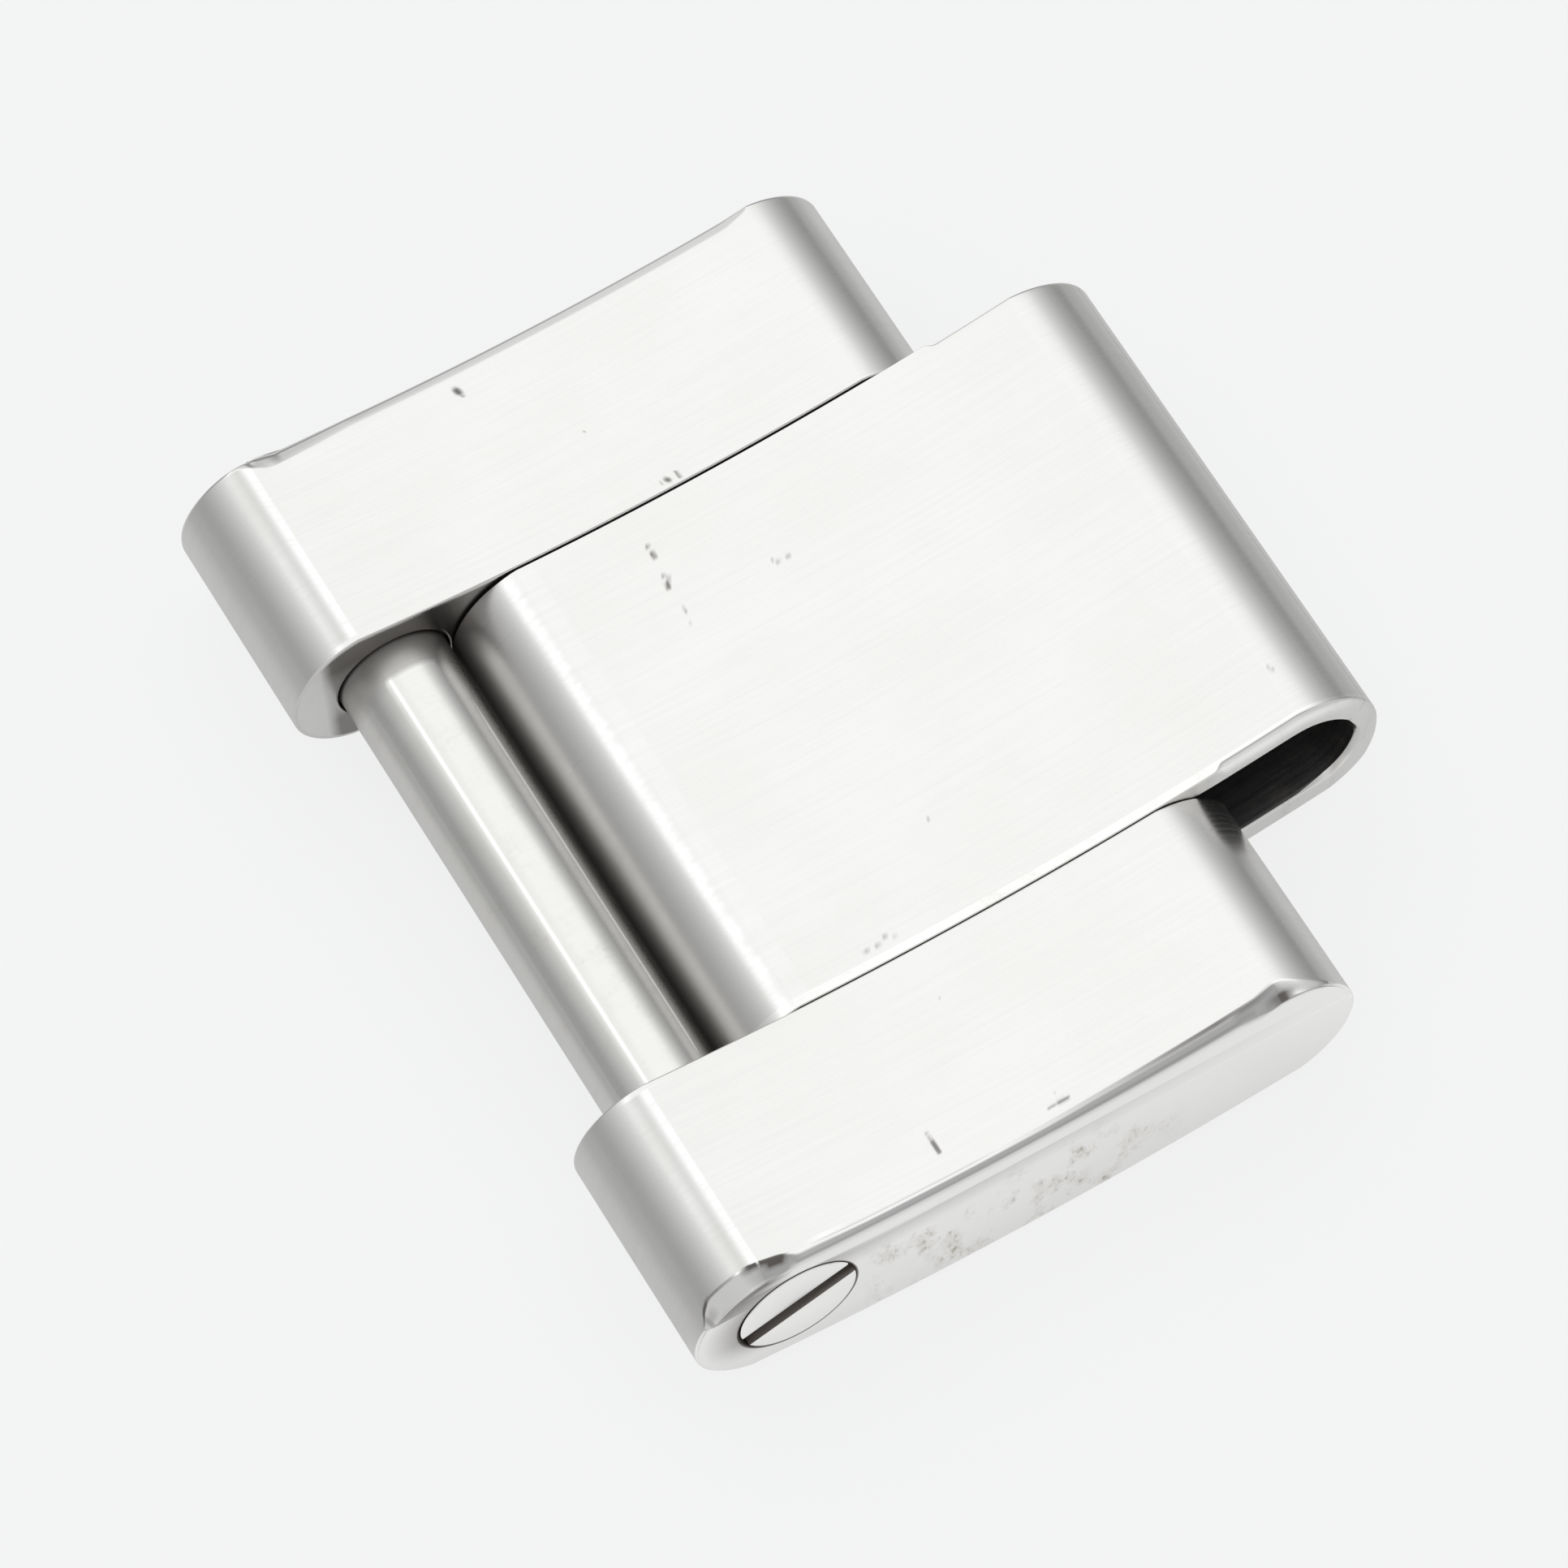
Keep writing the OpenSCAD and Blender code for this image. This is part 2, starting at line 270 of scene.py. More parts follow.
def counterbore(skin, edge, side):
    """The polished side face with the screw head's counterbore, and the ring at the counterbore's foot."""
    # painted shade in the gap round the head, darkest at the upper left
    dirt_and_shade = 0.85 * np.clip(np.cos(ring_turns + math.radians(38)) * 1.3 + 0.45, 0, 1)
    rings = []
    for left, up, radius, depth, share in counterbore_rings:
        ring = circle(screw_x - left, screw_z + up, radius, side * (side_face - depth))
        rings.append(skin.row(ring, share * dirt_and_shade))
    skin.plate(edge, [rings[0]], POLISHED)
    for number, (a, b) in enumerate(zip(rings, rings[1:])):
        skin.band(a, b, BORED if number else POLISHED)
    return rings[-1]


def inner_hole(skin, side, x, z, steps, meets):
    """A round hole in the inner face, in steps of radius and depth, and the ring at its rim. It ends in a
    floor, or meets a ring further in. The rim carries a painted highlight at the left."""
    bright = -0.9 * np.clip(np.cos(ring_turns + math.radians(75)) * 4 - 2.8, 0, 1)
    size = steps[0][0]
    rings = [
        skin.row(circle(x, z, size + 0.055, side * inner_face), bright * 0.5),
        skin.row(circle(x, z, size + 0.012, side * inner_face), bright),
        skin.row(circle(x, z, size, side * (inner_face + 0.012))),
    ]
    rings += [skin.row(circle(x, z, radius, side * (inner_face + depth))) for radius, depth in steps]
    for number, (a, b) in enumerate(zip(rings, rings[1:])):
        skin.band(a, b, BORED if number else MILLED)
    if meets:
        skin.band(rings[-1], meets, BORED)
    else:
        skin.plate(rings[-1], (), BORED)
    return rings[0]


def outer_link(side, holds_head, dents, rim_marks, screw_steps):
    """One solid outer link, on side -1 or 1. Its skin goes from the polished side face over the bevel and
    across the wrist side to the inner face, where the sleeve stands in a recess and the hinge pin in a
    hole."""
    points, normals, places, angles = bent_outline(
        wrist_radius, outer_radius, -outer_turn, outer_turn, outer_end_radius, outer_step)
    # a third of the points will do underneath
    keep = (places != UNDERSIDE) | (np.arange(len(points)) % 3 == 0)
    points, normals, places, angles = points[keep], normals[keep], places[keep], angles[keep]
    rows, first = rows_across(*bevel(points, places, angles, holds_head))
    # straight behind each point of the outline, with the crease at each end's shoulder taken off
    behind = sum(np.roll(normals, k, axis=0) for k in range(-5, 6))
    behind /= np.linalg.norm(behind, axis=1)[:, None]
    # at the crease where the left end begins a ragged painted highlight, and painted shade on the end beside
    # it
    crease = np.interp(angles, (12, 15, 16.5, 20, 26, 34), (-0.7, -0.7, 0.05, 0.22, 0.12, 0))
    crease = np.where(places == LEFT_END, crease, 0)
    ragged = np.random.default_rng(5)
    skin, made = Skin(), []
    for number, (inset, across) in enumerate(rows):
        spots = np.stack([
            points[:, 0] - inset * behind[:, 0], side * (side_face - across),
            points[:, 1] - inset * behind[:, 1]], 1)
        highlight_strength = ragged.uniform(0.45, 1.4)
        wear_and_light = np.zeros(len(spots))
        if number >= first and side_face - across.max() > inner_face + 0.1:
            wear_and_light = np.where(crease < 0, crease * highlight_strength, crease)
        for dark in press_in(dents, spots, normals):
            wear_and_light = np.where(abs(dark) > 0.08, dark, wear_and_light)
        for place, run, darks, low_row, high_row in rim_marks:
            if low_row <= number <= high_row:
                along = points[:, 0] if place == WRIST_SIDE else angles
                dark = np.interp(along, run, darks, 0, 0) * (places == place)
                wear_and_light = np.where(abs(dark) > 0.04, dark, wear_and_light)
        made.append(skin.row(spots, wear_and_light))
    for number, (a, b) in enumerate(zip(made, made[1:])):
        skin.band(a, b, BRUSHED if number >= first - 1 else POLISHED)
    head_foot = None
    if holds_head:
        head_foot = counterbore(skin, made[0], side)
    else:
        skin.plate(made[0], (), POLISHED)
    rims = [
        inner_hole(skin, side, screw_x, screw_z, screw_steps, head_foot),
        inner_hole(skin, side, hinge_x, hinge_z, ((0.6, 2.4),), None),
    ]
    skin.plate(made[-1], rims, MILLED)
    return skin


class Wiring:
    """Puts nodes into a tree and joins them up."""

    def __init__(self, tree):
        self.tree = tree

    def feed(self, socket, value):
        """Joins another node's output to a socket, or gives the socket a plain value."""
        if isinstance(value, bpy.types.NodeSocket):
            self.tree.links.new(value, socket)
        else:
            socket.default_value = value

    def put(self, kind, sockets=None, **settings):
        node = self.tree.nodes.new(kind)
        for name, value in settings.items():
            setattr(node, name, value)
        for key, value in (sockets or {}).items():
            self.feed(node.inputs[key], value)
        return node

    def maths(self, kind, a, b=0.0):
        return self.put("ShaderNodeMath", {0: a, 1: b}, operation=kind).outputs["Value"]

    def span(self, value, low, high, to_low, to_high, blend="LINEAR"):
        """Maps the stretch from low to high onto another one, and holds its ends past it."""
        sockets = {"Value": value, "From Min": low, "From Max": high, "To Min": to_low, "To Max": to_high}
        return self.put("ShaderNodeMapRange", sockets, interpolation_type=blend).outputs["Result"]

    def mixed(self, amount, a, b):
        mix = self.put("ShaderNodeMix", {"Factor": amount}, data_type="RGBA")
        for socket, colour in zip([s for s in mix.inputs if s.type == "RGBA"], (a, b)):
            self.feed(socket, colour if isinstance(colour, bpy.types.NodeSocket) else (*colour, 1))
        return next(s for s in mix.outputs if s.type == "RGBA")

    def grain(self, place, scale, detail, roughness):
        """Noise that is drawn out differently along x, y and z."""
        stretched = self.put("ShaderNodeMapping", {"Vector": place, "Scale": scale})
        sockets = {
            "Vector": stretched.outputs["Vector"], "Scale": 1.0, "Detail": detail, "Roughness": roughness}
        return self.put("ShaderNodeTexNoise", sockets).outputs["Fac"]


# dry dirt is real dirt; the other three are painted: a painted shade for what a face reflects, dark for real
# marks and painted shade, and white for painted highlights
dry_dirt, painted_reflected_shade, dark_marks_and_shade, painted_highlight_white = (
    (0.36, 0.31, 0.23), (0.17, 0.155, 0.145), (0.10, 0.088, 0.078), (1.0, 1.0, 1.0))
hairline_depth = 0.0000012


def steel(name, tint, rough, brushed, grime, lines=0.35, strip=None, shade=None):
    """Stainless steel. brushed is how deep the hairlines along the length are, lines how much they darken it,
    grime how much dry dirt lies on it, strip the stretch along x, in metres, that the dirt keeps to, and
    shade the x past which a painted shade darkens the face, standing in for the dark parts that it reflects."""
    made = bpy.data.materials.new(name)
    made.use_nodes = True
    wiring = Wiring(made.node_tree)
    maths, span, mixed = wiring.maths, wiring.span, wiring.mixed
    place = wiring.put("ShaderNodeTexCoord").outputs["Object"]
    along = wiring.put("ShaderNodeSeparateXYZ", {0: place}).outputs
    wear_and_light = wiring.put("ShaderNodeAttribute", attribute_name="wear_and_light").outputs["Fac"]
    # each grain's scale along x, y and z, per metre; hairlines run along x
    hair = wiring.grain(place, (330, 15000, 330), 2.0, 0.6)
    coarse = wiring.grain(place, (120, 4200, 120), 2.0, 0.5)
    cloud = wiring.grain(place, (420, 420, 420), 4.0, 0.6)
    blot = wiring.grain(place, (2300, 2300, 1100), 4.0, 0.6)
    speck = wiring.grain(place, (11000, 11000, 5500), 2.0, 0.6)
    colour = mixed(span(hair, 0.3, 0.7, 0.0, lines), tint, tuple(c * 0.9 for c in tint))
    cloudy = tuple(c * k for c, k in zip(tint, (0.95, 0.945, 0.93)))
    colour = mixed(span(cloud, 0.35, 0.75, 0.0, 0.5), colour, cloudy)
    specks = maths("ADD", span(speck, 0.5, 0.7, 0.0, grime), grime * 0.35)
    dirt_and_shade = maths("MULTIPLY", span(blot, 0.5, 0.72, 0.0, 1.0), specks)
    if strip:
        left, right = strip
        for value, clean, full in (
            (along["X"], left, left + 0.0005),
            (along["X"], right, right - 0.0012),
            (along["Z"], 0.0024, 0.0017),
        ):
            dirt_and_shade = maths("MULTIPLY", dirt_and_shade, span(value, clean, full, 0.0, 1.0))
    colour = mixed(dirt_and_shade, colour, dry_dirt)
    # past x = shade the face takes a painted shade, standing in for the dark parts it reflects
    if shade is not None:
        colour = mixed(span(along["X"], shade - 0.00011, shade + 0.00009, 0.0, 0.78), colour, painted_reflected_shade)
    # above nought the marks darken the steel, both real marks and painted shade; below nought they paint a
    # highlight
    colour = mixed(wear_and_light, colour, dark_marks_and_shade)
    colour = mixed(maths("MULTIPLY", wear_and_light, -1.0), colour, painted_highlight_white)
    plain = span(hair, 0.25, 0.75, rough * 0.85, rough * 1.15)
    clouded = maths("ADD", plain, span(cloud, 0.3, 0.7, -0.02, 0.03))
    dull = maths("MULTIPLY", maths("MAXIMUM", wear_and_light, 0.0), 0.5)
    dirty = maths("ADD", maths("MULTIPLY", dirt_and_shade, 0.25), dull)
    lines_height = maths("ADD", hair, maths("MULTIPLY", coarse, 1.3))
    bump = wiring.put(
        "ShaderNodeBump", {"Strength": 1.0, "Distance": hairline_depth * brushed, "Height": lines_height})
    shader = made.node_tree.nodes["Principled BSDF"]
    shader.inputs["Metallic"].default_value = 1.0
    wiring.feed(shader.inputs["Base Color"], colour)
    wiring.feed(shader.inputs["Roughness"], maths("ADD", clouded, dirty))
    wiring.feed(shader.inputs["Normal"], bump.outputs["Normal"])
    return made


wrist_finish = steel("brushed_wrist_side", (0.875, 0.866, 0.852), 0.25, 0.34, 0.0, 0.14)
side_finish = steel("polished_side", (0.89, 0.885, 0.875), 0.12, 0.12, 0.9, 0.1, (-0.0042, 0.0014))
# the walls of bored holes and recesses are dark grey: painted shade
bore_shade_finish = steel("bored_steel_painted_shade", (0.24, 0.225, 0.21), 0.38, 0.6, 0.5)
# the inner face takes a painted shade past x = -6.35 mm, where it faces the sleeve and the centre link
inner_finish = steel("milled_inner_face", (0.96, 0.955, 0.94), 0.3, 0.4, 0.2, 0.2, None, -0.00635)
outer_finishes = [wrist_finish, side_finish, bore_shade_finish, inner_finish]

# dents and dark marks: from and to in x, y and z, how wide, how deep and how dark; one below nought is a
# painted glint
head_dents = [
    (-2.51, -7.05, 2.819, -2.51, -7.08, 2.819, 0.022, 0.008, 0.45),
    (-2.51, -7.12, 2.819, -2.507, -7.22, 2.819, 0.02, 0.008, 0.6),
    (-2.507, -7.24, 2.819, -2.505, -7.42, 2.819, 0.036, 0.012, 0.75),
    (-0.77, -7.64, 2.805, -0.62, -7.63, 2.807, 0.018, 0.006, 0.45),
    (-0.60, -7.63, 2.807, -0.44, -7.63, 2.81, 0.034, 0.01, 0.65),
    (-0.55, -7.46, 2.81, -0.54, -7.44, 2.81, 0.02, 0.005, 0.25),
    (-1.23, -5.25, 2.8, -1.2, -5.23, 2.8, 0.016, 0.004, 0.25),
    # painted glints: bright specks on the right end's edges, with no dent
    (3.875, -7.99, 2.364, 3.93, -7.99, 2.34, 0.03, 0.0, -0.9),
    (4.15, -7.99, 2.05, 4.27, -7.99, 1.92, 0.022, 0.0, -0.9),
    (3.948, -4.49, 2.622, 3.95, -4.51, 2.62, 0.02, 0.0, -0.8),
    (4.06, -4.67, 2.477, 4.063, -4.69, 2.474, 0.024, 0.0, -0.9),
    (3.875, -4.79, 2.698, 3.877, -4.81, 2.696, 0.016, 0.0, -0.7),
    (4.02, -4.56, 2.54, 4.022, -4.575, 2.538, 0.016, 0.0, -0.7),
]
# dark marks along the bevel: the stretch of the outline, places along it and how dark each is, and the first
# and last row across; one below nought is a painted highlight
head_rim_marks = [
    (LEFT_END, (48, 53, 60, 66), (0, 0.8, 0.85, 0), 11, 13),
    (LEFT_END, (50, 55, 60, 64), (0, 0.2, 0.3, 0), 8, 9),
    (LEFT_END, (25, 30, 44, 52), (0, 0.45, 0.6, 0.6), 11, 12),
    (LEFT_END, (12, 18, 25), (0.9, 0.9, 0), 10, 12),
    (WRIST_SIDE, (-5.8, -5.35, -5.24), (0.9, 0.9, 0), 10, 12),
    (WRIST_SIDE, (-5.7, -5.6, -5.4, -5.3), (0, 0.9, 0.9, 0), 9, 9),
    (LEFT_END, (11, 50, 64), (0.75, 0.65, 0.5), 0, 2),
    (WRIST_SIDE, (-5.8, -5.5, -5.3), (0.75, 0.4, 0), 0, 2),
    (WRIST_SIDE, (2.75, 2.95, 3.2), (0, 0.7, 0.9), 5, 8),
    (RIGHT_END, (10, 16, 24), (0.9, 0.9, 0), 5, 8),
    (RIGHT_END, (18, 30, 42), (0.6, 0.4, 0), 5, 6),
    (WRIST_SIDE, (-2, 0.3, 1.2, 2.0, 2.7, 3.1), (0, 0.35, 0.6, 0.75, 0.5, 0), 10, 12),
    # a painted highlight along the top of the bevel at the left
    (WRIST_SIDE, (-5.0, -4.7, -4.2), (0, -0.6, 0), 12, 14),
    (WRIST_SIDE, (-1.5, 0, 2, 2.6), (0, 0.1, 0.2, 0.1), 6, 8),
    (WRIST_SIDE, (-5, -4.6, -2.2, -1.6), (0, 0.2, 0.2, 0), 11, 12),
]
# the sleeve's recess, and the hole of the screw's shank from its foot on
head = outer_link(-1, True, head_dents, head_rim_marks, ((0.975, 0.25), (0.65, 0.25)))
head.piece("head_link_skin", outer_finishes, "outer_frame", "head_link")


# Hinge pin and hinge tube: a ground steel pin pressed into both outer links,
# with a loose drawn tube on it that the centre link's nose turns on. Both are
# hidden inside the put-together link.

def turned(profile, x, z, count=96):
    """A turned piece round an axis along y, from a line of radius and y. Radius 0 closes it on the axis."""
    skin = Skin()
    rows = [skin.row(circle(x, z, max(radius, 1e-4), y, count)) for radius, y in profile]
    for a, b in zip(rows, rows[1:]):
        skin.band(a, b)
    return skin


pin_finish = steel("ground_pin", (0.70, 0.69, 0.675), 0.24, 0.3, 0.2)
tube_finish = steel("drawn_tube", (0.68, 0.67, 0.655), 0.26, 0.4, 0.3)
pin_end = [(0, -6.74), (0.38, -6.74), (0.41, -6.73), (0.58, -6.56), (0.6, -6.52), (0.6, -6.4)]
pin_profile = pin_end + [(0.6, 0)] + [(radius, -y) for radius, y in pin_end[::-1]]
turned(pin_profile, hinge_x, hinge_z).piece("hinge_pin_ground", [pin_finish], "outer_frame", "hinge_pin")
tube_end = [
    (0.65, -4.25), (0.66, -4.28), (0.69, -4.30), (0.88, -4.30), (0.915, -4.288), (0.93, -4.25), (0.93, -4.1),
]
tube_profile = tube_end + [(radius, -y) for radius, y in tube_end[::-1]] + tube_end[:1]
turned(tube_profile, hinge_x, hinge_z).piece("hinge_tube_drawn", [tube_finish], "hinge_tube", "hinge_tube")


# Centre link: steel sheet 0.4 mm thick, folded round into a flat hollow loop
# whose two ends meet in a butt seam at the open end. Outside it is brushed
# along the length; inside it is left dark from the rolling, and painted darker
# still as shade in the hollow.

centre_outer_radius, sheet = 37.8, 0.4
nose_turn, open_turn, centre_end_radius = -2.346, 10.9592, 1.43
centre_near, centre_far = -4.325, 4.30
seam_turn, seam_width = 22.0, 0.008
flat_rows, inside_rows = 118, 16
sheet_step = 0.05
CUT_EDGE, INSIDE = 1, 2
# points along the wrist side, the open end, the underside and the nose
sheet_points = (200, 90, 120, 70)
# painted light round the nose, by the angle from upright in degrees: a painted highlight at the crease, then
# painted shade beside the sleeve
nose_angles = (12, 16, 20, 24, 34, 48, 58, 70, 82, 130, 165)
nose_light_levels = (-0.1, -0.5, -0.1, 0.06, 0.1, 0.1, 0.2, 0.6, 0.9, 0.9, 0.0)


def evenly(points, places):
    """The four stretches of an outline, each laid out again with its own number of even steps."""
    stretches = []
    for place, count in enumerate(sheet_points):
        part = points[places == place]
        far = np.concatenate([[0], np.cumsum(np.hypot(*np.diff(part, axis=0).T))])
        wanted = np.linspace(0, far[-1], count)
        stretches.append(np.stack([np.interp(wanted, far, part[:, k]) for k in (0, 1)], 1))
    return stretches


def sheet_lines():
    """The sheet's outer and inner line, with as many points each, from below the seam round to above it."""
    stretches, cut = [], []
    middle = (wrist_radius + centre_outer_radius) / 2
    centre = on_bend(middle, math.radians(open_turn))
    lie = math.radians(open_turn) + math.radians(seam_turn)
    direction, across = np.array((math.cos(lie), math.sin(lie))), np.array((-math.sin(lie), math.cos(lie)))
    half = seam_width / 2
    for thick in (0, sheet):
        points, _, places, _ = bent_outline(
            wrist_radius + thick, centre_outer_radius - thick,
            nose_turn, open_turn, centre_end_radius - thick, sheet_step)
        stretches.append(evenly(points, places))
        radius = centre_end_radius - thick
        part = stretches[-1][RIGHT_END]
        side = (part - centre) @ across
        lips = [centre + direction * math.sqrt(radius ** 2 - half ** 2) + across * half * s for s in (1, -1)]
        cut.append((part[side > half + 0.02], lips, part[side < -half - 0.02]))
    above, below = [min(len(cut[0][k]), len(cut[1][k])) for k in (0, 2)]

    def thinned(part, count):
        return part[np.round(np.linspace(0, len(part) - 1, count)).astype(int)]

    lines = []
    for (top, lips, low), parts in zip(cut, stretches):
        round_the_rest = (parts[UNDERSIDE], parts[LEFT_END], parts[WRIST_SIDE])
        from_seam, to_seam = thinned(low, below), thinned(top, above)
        lines.append(np.concatenate([[lips[1]], from_seam, *round_the_rest, to_seam, [lips[0]]]))
    # the inside of the fold runs on smoothly from the flats into the round ends
    inner = lines[1]
    for _ in range(40):
        inner[2:-2] = (inner[1:-3] + 2 * inner[2:-2] + inner[3:-1]) / 4
    return lines


def outward(line):
    """The direction square to a line at each of its points, away from the hollow."""
    step = np.gradient(line, axis=0)
    step /= np.linalg.norm(step, axis=1)[:, None]
    return np.stack([-step[:, 1], step[:, 0]], 1)


def centre_link(dents):
    """The folded sheet, laid out from one side of the seam round to the other, so that the seam is a real
    gap."""
    outer_line, inner_line = sheet_lines()
    out_n, in_n = outward(outer_line), outward(inner_line)
    nose_x, nose_z = on_bend((wrist_radius + centre_outer_radius) / 2, math.radians(nose_turn))
    tilt = np.degrees(np.arctan2(nose_x - outer_line[:, 0], outer_line[:, 1] - nose_z))
    from_nose = np.hypot(outer_line[:, 0] - nose_x, outer_line[:, 1] - nose_z)
    on_nose = (from_nose < centre_end_radius + 0.01) & (outer_line[:, 0] < nose_x)
    # painted highlight and painted shade round the nose
    nose_light = np.where(on_nose, np.interp(tilt, nose_angles, nose_light_levels), 0)
    # worn is 1 where the rim of the open end is worn to a slope, and 0 along the flats and underneath
    worn = np.clip((outer_line[:, 0] - 4.12) / 0.12, 0, 1) * np.clip((out_n[:, 1] + 0.55) / 0.5, 0, 1)
    # lip is 1 where the inner edge of the open end has been pushed in towards the hollow
    lip = np.clip((inner_line[:, 0] - 5.6) / 0.5, 0, 1) * np.clip((0.35 - in_n[:, 1]) / 0.3, 0, 1)
    ragged = np.random.default_rng(7)
    skin, rows, finishes = Skin(), [], []

    def add(line, normals, inset, y, finish, dented=False):
        spots = np.stack([
            line[:, 0] - inset * normals[:, 0], line[:, 0] * 0 + y, line[:, 1] - inset * normals[:, 1]], 1)
        wear_and_light = np.zeros(len(spots))
        if line is outer_line:
            wear_and_light = np.where(nose_light < 0, nose_light * ragged.uniform(0.2, 1.9), nose_light)
        if dented:
            for dark in press_in(dents, spots, normals):
                wear_and_light = np.where(dark > 0.08, np.maximum(wear_and_light, dark), wear_and_light)
        rows.append(skin.row(spots, wear_and_light))
        finishes.append(finish)

    # the rim's slope: how far each row lies below the outside, and how far in from the link's side
    deep, back = 0.015 + 0.26 * worn, 0.012 + 0.073 * worn
    slope = [(deep + 0.02, 0 * back)]
    steps_up = ((0.9, 0.04), (0.6, 0.22), (0.3, 0.5), (0.1, 0.78), (0.02, 0.95))
    slope += [(deep * below, share * back) for below, share in steps_up]
    slope.append((0 * deep, back + 0.008 + 0.022 * worn))
    slope_finishes = [CUT_EDGE] * 5 + [BRUSHED, CUT_EDGE]
    for (inset, off), finish in zip(slope, slope_finishes):
        add(outer_line, out_n, inset, centre_near + off, finish)
    for y in np.linspace(centre_near + 0.16, centre_far - 0.16, flat_rows):
        add(outer_line, out_n, 0, y, BRUSHED, True)
    for inset, off in slope[::-1]:
        add(outer_line, out_n, inset, centre_far - off, CUT_EDGE)
    inner_edge = ((-0.04, 0), (-0.02, 0), (-0.006, 0.01))
    for inset, off in inner_edge:
        add(inner_line, in_n, inset - 0.06 * lip, centre_far - off, CUT_EDGE)
    add(inner_line, in_n, 0 * lip, centre_far - 0.03 - 0.06 * lip, CUT_EDGE)
    for y in np.linspace(centre_far - 0.1, centre_near + 0.1, inside_rows):
        add(inner_line, in_n, 0, y, INSIDE)
    add(inner_line, in_n, 0 * lip, centre_near + 0.03 + 0.06 * lip, CUT_EDGE)
    for inset, off in inner_edge[::-1]:
        add(inner_line, in_n, inset - 0.06 * lip, centre_near + off, CUT_EDGE)
    rows.append(rows[0])
    for a, b, finish in zip(rows, rows[1:], finishes):
        skin.band(a, b, finish, closed=False)
    # the two cut edges of the sheet, which face each other across the seam
    outside_rows = 2 * len(slope) + flat_rows
    for end in (0, -1):
        edge = [row[end] for row in rows[:-1]]
        top, bottom = edge[:outside_rows], edge[outside_rows:][::-1]
        picks = np.round(np.linspace(0, len(bottom) - 1, len(top))).astype(int)
        for i in range(len(top) - 1):
            a, b = bottom[picks[i]], bottom[picks[i + 1]]
            skin.faces.append((top[i], top[i + 1], b, a) if a != b else (top[i], top[i + 1], a))
            skin.finishes.append(CUT_EDGE)
    return skin


# the inside is painted very dark: its own dark steel with painted shade of the hollow
inside_finish = steel("rolled_inside_painted_shade", (0.27, 0.268, 0.27), 0.42, 0.8, 0.5)
edge_finish = steel("sheet_edge", (0.97, 0.965, 0.95), 0.24, 0.4, 0.15, 0.2)
centre_dents = [
    (-1.15, 3.66, 2.8, -1.14, 3.62, 2.8, 0.03, 0.01, 0.6),
    (-1.15, 3.49, 2.8, -1.14, 3.45, 2.8, 0.04, 0.012, 0.75),
    (-1.19, 3.2, 2.8, -1.19, 3.16, 2.8, 0.016, 0.005, 0.3),
    (-1.2, 3.05, 2.8, -1.14, 3.03, 2.8, 0.034, 0.01, 0.7),
    (-1.2, 2.93, 2.8, -1.22, 2.87, 2.8, 0.04, 0.012, 0.75),
    (-1.21, 2.42, 2.8, -1.2, 2.34, 2.8, 0.022, 0.008, 0.4),
    (-1.24, 2.19, 2.8, -1.23, 2.16, 2.8, 0.022, 0.008, 0.35),
    (0.35, 2.45, 2.842, 0.40, 2.36, 2.842, 0.014, 0.004, 0.35),
    (0.40, 2.36, 2.842, 0.48, 2.35, 2.842, 0.014, 0.004, 0.3),
    (0.5, 2.41, 2.85, 0.60, 2.36, 2.855, 0.018, 0.005, 0.4),
    (-1.78, -4.0, 2.802, -1.74, -4.0, 2.802, 0.032, 0.01, 0.5),
    (-1.66, -3.97, 2.8, -1.56, -4.05, 2.8, 0.014, 0.004, 0.35),
    (-1.56, -4.05, 2.8, -1.49, -3.98, 2.8, 0.018, 0.005, 0.35),
    (-1.43, -3.97, 2.8, -1.36, -3.98, 2.8, 0.03, 0.008, 0.5),
    (-1.34, -4.0, 2.8, -1.26, -4.02, 2.8, 0.014, 0.004, 0.3),
    (5.66, -3.40, 3.513, 5.70, -3.42, 3.513, 0.035, 0.01, 0.5),
    (5.62, -3.30, 3.50, 5.62, -3.28, 3.50, 0.025, 0.008, 0.35),
    (6.14, -4.12, 3.60, 6.34, -4.16, 3.56, 0.05, 0.006, 0.35),
    (0.12, -2.6, 2.83, 0.14, -2.62, 2.83, 0.016, 0.004, 0.4),
]
centre_finishes = [wrist_finish, edge_finish, inside_finish]
centre_link(centre_dents).piece("centre_link_folded", centre_finishes, "centre_link", "centre_link")


# Thread link: the other outer link, milled from the same steel as a mirror
# image of the first, but with a plain side face and with a tapped hole for
# the screw in place of the counterbore.

thread_dents = [
    (-2.31, 7.55, 2.813, -2.29, 7.50, 2.813, 0.055, 0.014, 0.8),
    (-2.27, 7.43, 2.813, -2.27, 7.41, 2.813, 0.03, 0.01, 0.5),
    (-0.32, 4.51, 2.816, -0.30, 4.48, 2.816, 0.045, 0.012, 0.7),
    (-0.131, 4.55, 2.821, -0.124, 4.42, 2.821, 0.022, 0.01, 0.65),
    (-0.42, 4.50, 2.816, -0.42, 4.48, 2.816, 0.02, 0.006, 0.35),
    (-1.0, 5.92, 2.80, -0.98, 5.88, 2.80, 0.018, 0.006, 0.4),
]
# the sleeve's recess, and the tapped hole down to its floor
other = outer_link(1, False, thread_dents, [], ((0.975, 0.25), (0.6, 0.25), (0.6, 2.85)))
other.piece("thread_link_skin", outer_finishes, "outer_frame", "thread_link")


# Screw sleeve: a loose drawn tube round the screw, which stands in a recess of
# each outer link. The next link's open end turns on it, which has worn it
# bright.

